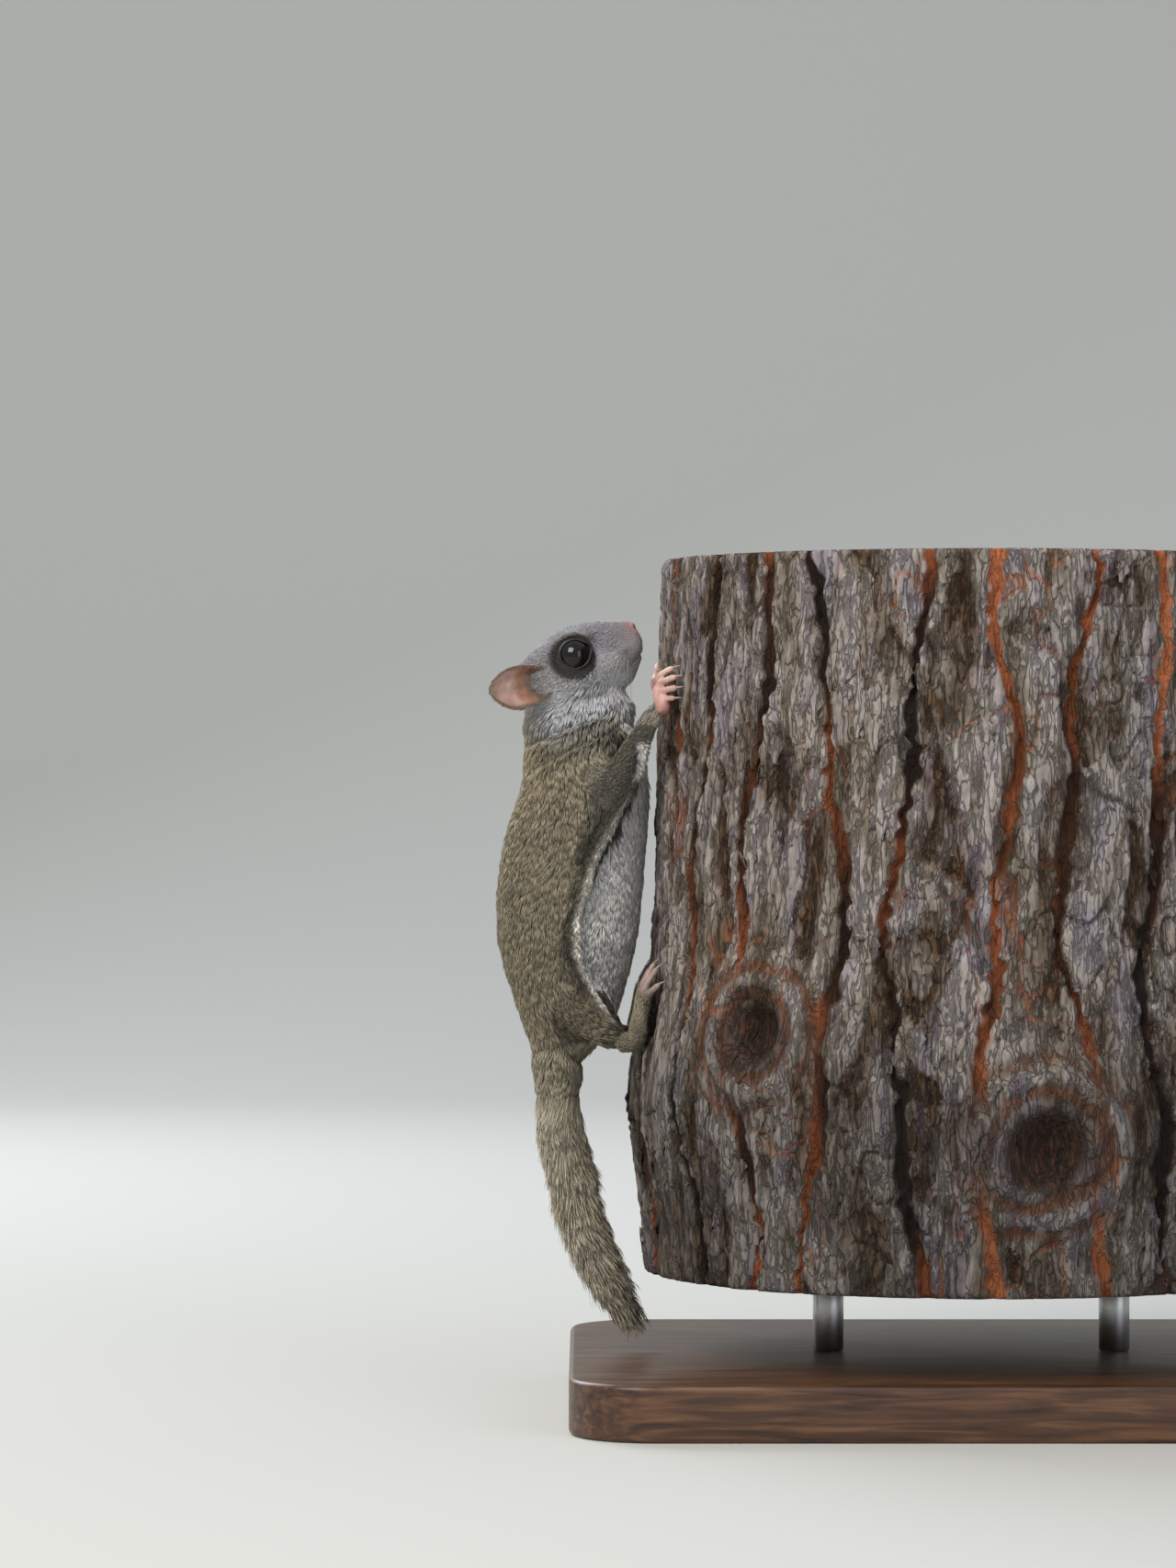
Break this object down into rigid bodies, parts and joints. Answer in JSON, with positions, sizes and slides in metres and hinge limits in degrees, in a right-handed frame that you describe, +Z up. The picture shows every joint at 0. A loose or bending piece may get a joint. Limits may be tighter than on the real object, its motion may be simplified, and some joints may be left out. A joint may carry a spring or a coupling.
{
  "type": "flying squirrel",
  "caption": "Life-size southern flying squirrel clinging head up to a short cut length of pine trunk on a plain stand.",
  "frame": {"origin": "centre of the underside of the stand's base; the trunk's axis is the Z axis", "axes": "+Z up the trunk; the squirrel is on the trunk's -X side, its back towards -X and its right flank towards -Y"},
  "size_m": [0.2599, 0.2073, 0.248],
  "materials": {
    "skin": "short dense drab grey-brown fur, matt",
    "neck_coat": "short dense fur, grey-brown behind and pale below, matt",
    "head_coat": "very short grey fur, paler on the cheek, matt",
    "tail_coat": "soft drab grey-brown fur in flat overlapping locks, matt",
    "eye": "wet glossy black",
    "ear_skin": "thin nearly bare skin, pinkish brown",
    "arm_coat": "short dark grey-brown fur, matt",
    "hand_skin": "bare pink skin with small horn claws",
    "leg_coat": "short grey-brown fur, matt",
    "foot_skin": "thinly furred pinkish skin with small horn claws",
    "membrane_coat": "charcoal-brown fur above, cream rim, white fur below",
    "bark": "rough flaky furrowed bark, cut end grain at both ends",
    "base_wood": "dark stained wood, satin",
    "rod_metal": "satin metal"
  },
  "bodies": {
    "root": {"stand_base": "base_wood", "stand_rod_left": "rod_metal", "stand_rod_right": "rod_metal", "trunk": "bark", "torso": "skin", "neck": "neck_coat", "head": "head_coat", "tail": "tail_coat", "eye_right": "eye", "ear_right": "ear_skin", "arm_right": "arm_coat", "hand_right": "hand_skin", "leg_right": "leg_coat", "foot_right": "foot_skin", "membrane_right": "membrane_coat", "eye_left": "eye", "ear_left": "ear_skin", "arm_left": "arm_coat", "hand_left": "hand_skin", "leg_left": "leg_coat", "foot_left": "foot_skin", "membrane_left": "membrane_coat"}
  },
  "joints": []
}
